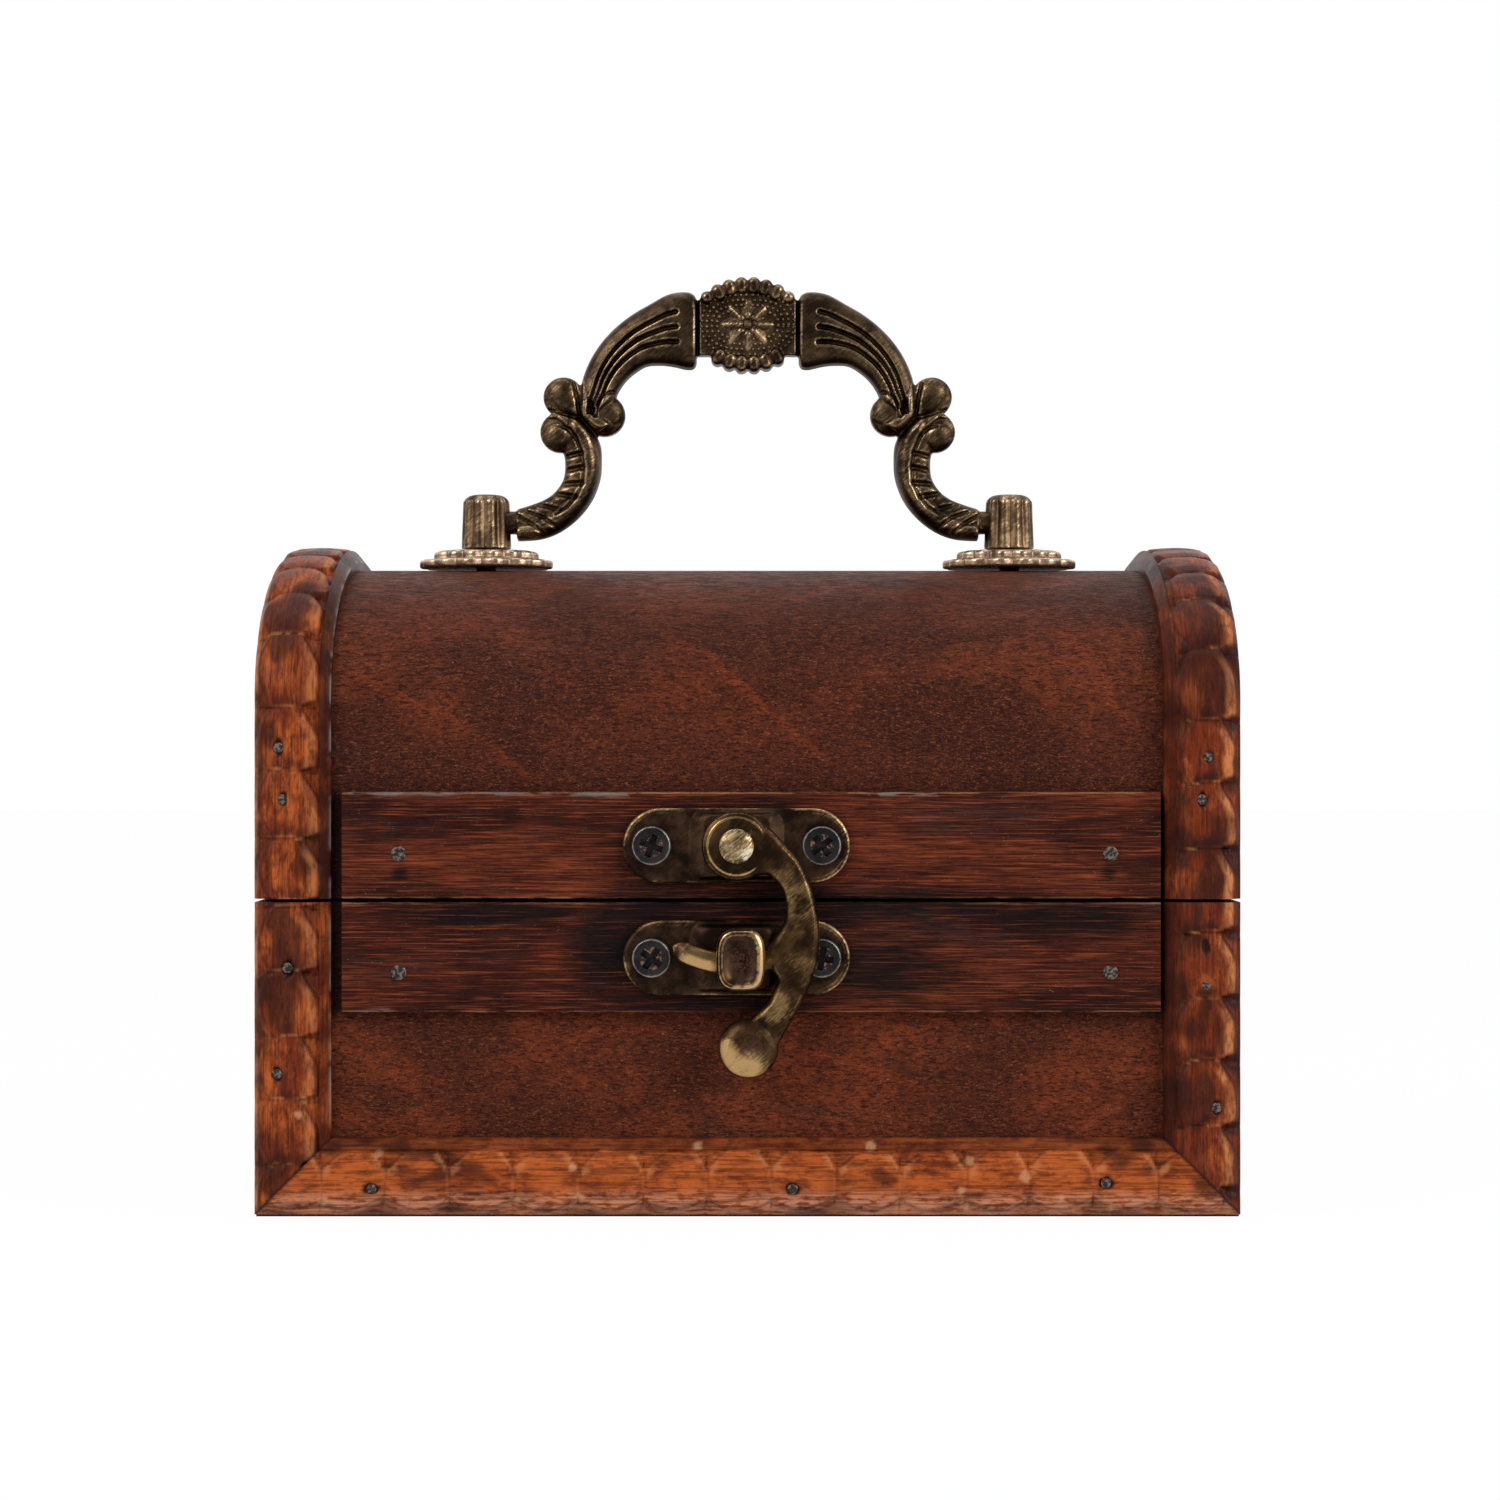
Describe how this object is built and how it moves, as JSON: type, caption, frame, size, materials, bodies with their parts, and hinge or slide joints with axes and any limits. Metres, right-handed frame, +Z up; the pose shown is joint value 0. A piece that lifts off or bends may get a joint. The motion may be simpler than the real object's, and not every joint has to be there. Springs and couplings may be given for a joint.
{
  "type": "trinket box",
  "caption": "Small arched wooden trinket box with carved edge strips, a hinged lid, a swing-hook latch and a cast bail handle on top.",
  "frame": {"origin": "centre of the underside, where the box stands", "axes": "+X along the width to the viewer's right, +Y from the latch side to the hinges, +Z up"},
  "size_m": [0.118, 0.0875, 0.1173],
  "materials": {
    "panel_wood": "stained, satin varnish",
    "end_wood": "stained, matt",
    "trim_wood": "scorched and varnished",
    "batten_wood": "stained, matt",
    "antique_brass": "antiqued, rubbed",
    "black_screw": "blackened",
    "steel_nail": "dull"
  },
  "bodies": {
    "base": {"base_bottom": "panel_wood", "base_front_panel": "panel_wood", "base_back_panel": "panel_wood", "base_end_left": "end_wood", "base_end_right": "end_wood", "base_trim_front_left": "trim_wood", "base_trim_front_right": "trim_wood", "base_trim_front_bottom": "trim_wood", "base_trim_back_left": "trim_wood", "base_trim_back_right": "trim_wood", "base_trim_back_bottom": "trim_wood", "base_batten_front": "batten_wood", "base_batten_back": "batten_wood", "base_nail_left": "steel_nail", "base_nail_right": "steel_nail", "catch_plate": "antique_brass", "catch_post": "antique_brass", "catch_screw_left": "black_screw", "catch_screw_right": "black_screw", "hinge_left_base_leaf": "antique_brass", "hinge_left_pin": "steel_nail", "hinge_left_base_nail_1": "steel_nail", "hinge_left_base_nail_2": "steel_nail", "hinge_right_base_leaf": "antique_brass", "hinge_right_pin": "steel_nail", "hinge_right_base_nail_1": "steel_nail", "hinge_right_base_nail_2": "steel_nail"},
    "lid": {"lid_shell": "panel_wood", "lid_end_left": "end_wood", "lid_end_right": "end_wood", "lid_trim_left": "trim_wood", "lid_trim_right": "trim_wood", "lid_batten_front": "batten_wood", "lid_batten_back": "batten_wood", "lid_nail_left": "steel_nail", "lid_nail_right": "steel_nail", "latch_plate": "antique_brass", "latch_rivet": "antique_brass", "latch_screw_left": "black_screw", "latch_screw_right": "black_screw", "handle_post_left": "antique_brass", "handle_post_right": "antique_brass", "handle_rosette_left": "antique_brass", "handle_rosette_right": "antique_brass", "handle_screw_left": "steel_nail", "handle_screw_right": "steel_nail", "hinge_left_lid_leaf": "antique_brass", "hinge_left_lid_nail_1": "steel_nail", "hinge_left_lid_nail_2": "steel_nail", "hinge_right_lid_leaf": "antique_brass", "hinge_right_lid_nail_1": "steel_nail", "hinge_right_lid_nail_2": "steel_nail"},
    "bail": {"handle_bail": "antique_brass"},
    "hook": {"latch_hook": "antique_brass"}
  },
  "joints": [
    {"name": "lid_hinge", "type": "hinge", "parent": "base", "child": "lid", "pos_m": [0, 0.04085, 0.038], "axis": [-1, 0, 0], "range_deg": [0, 110]},
    {"name": "handle_pivot", "type": "hinge", "parent": "lid", "child": "bail", "pos_m": [0, 0, 0.0855], "axis": [1, 0, 0], "range_deg": [-105, 105]},
    {"name": "latch_pivot", "type": "hinge", "parent": "lid", "child": "hook", "pos_m": [-0.0013, -0.0425, 0.0446], "axis": [0, -1, 0], "range_deg": [0, 165]}
  ]
}
